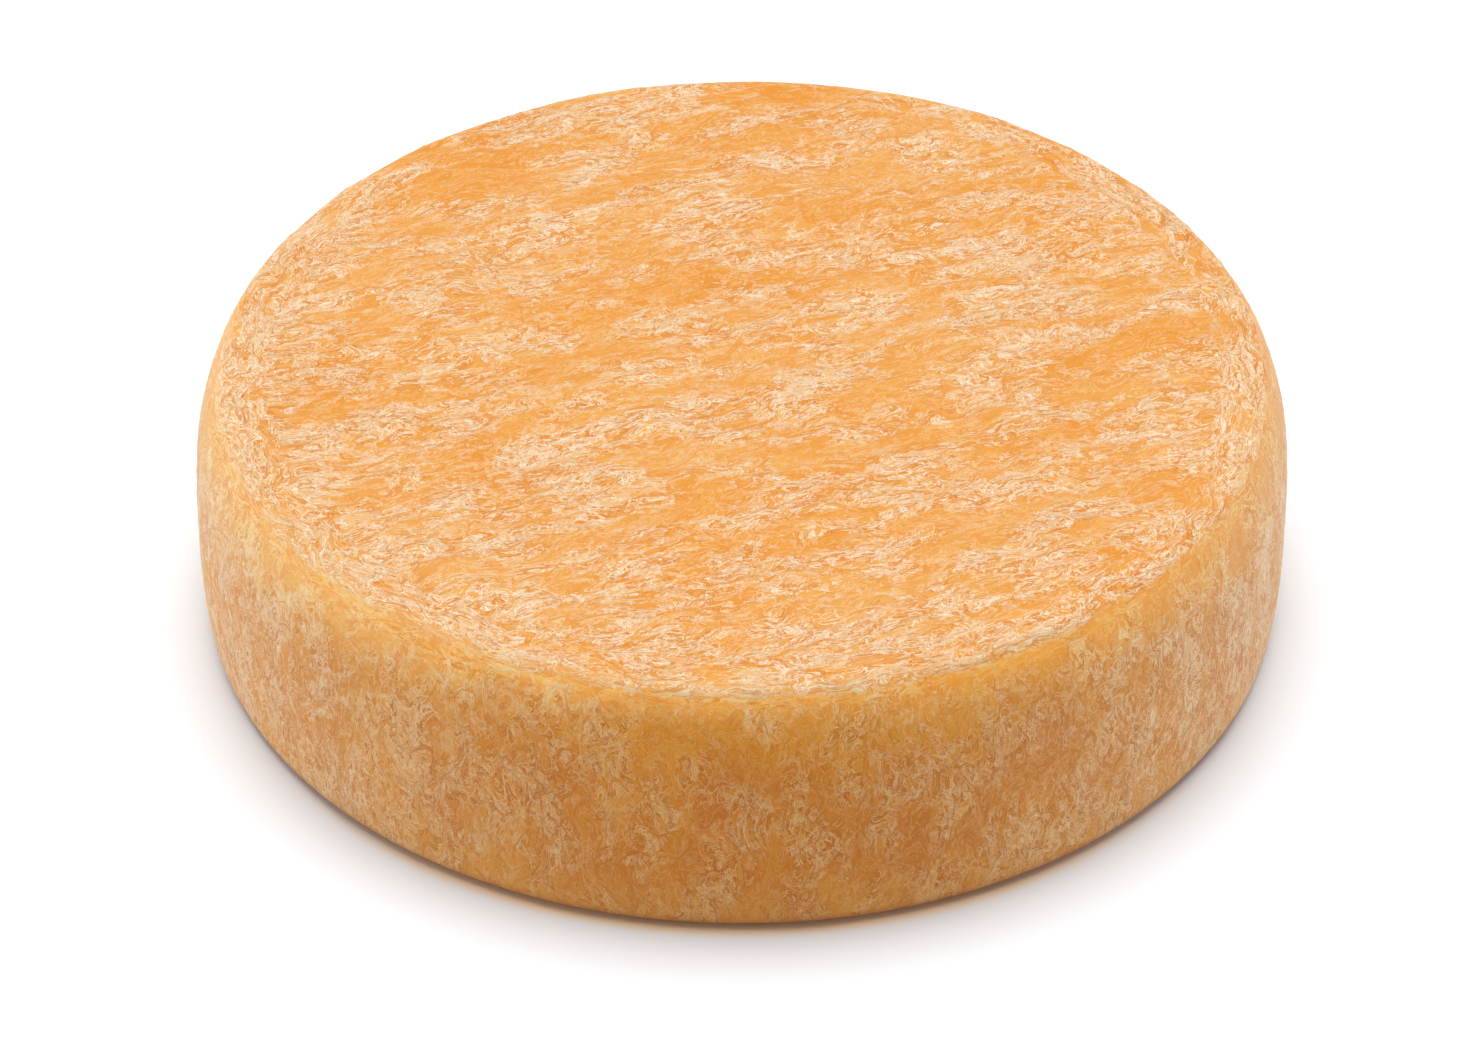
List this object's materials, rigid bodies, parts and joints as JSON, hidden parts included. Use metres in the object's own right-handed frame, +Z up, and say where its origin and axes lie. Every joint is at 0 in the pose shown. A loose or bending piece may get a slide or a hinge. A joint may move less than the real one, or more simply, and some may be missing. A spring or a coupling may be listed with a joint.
{
  "type": "cheese wheel",
  "caption": "Whole round wheel of semi-hard washed-rind mountain cheese, flat on both faces, with a soft shoulder and an orange rind.",
  "frame": {"origin": "centre of the underside, on the surface the wheel lies on", "axes": "+Z up through the wheel's thickness; +X to the right and +Y away as seen from the front; the wheel is nearly round, so its front is nominal"},
  "size_m": [0.3204, 0.3204, 0.0793],
  "materials": {
    "rind": "dry washed rind, orange under pale flaky film, satin"
  },
  "bodies": {
    "root": {"cheese_wheel": "rind"}
  },
  "joints": []
}
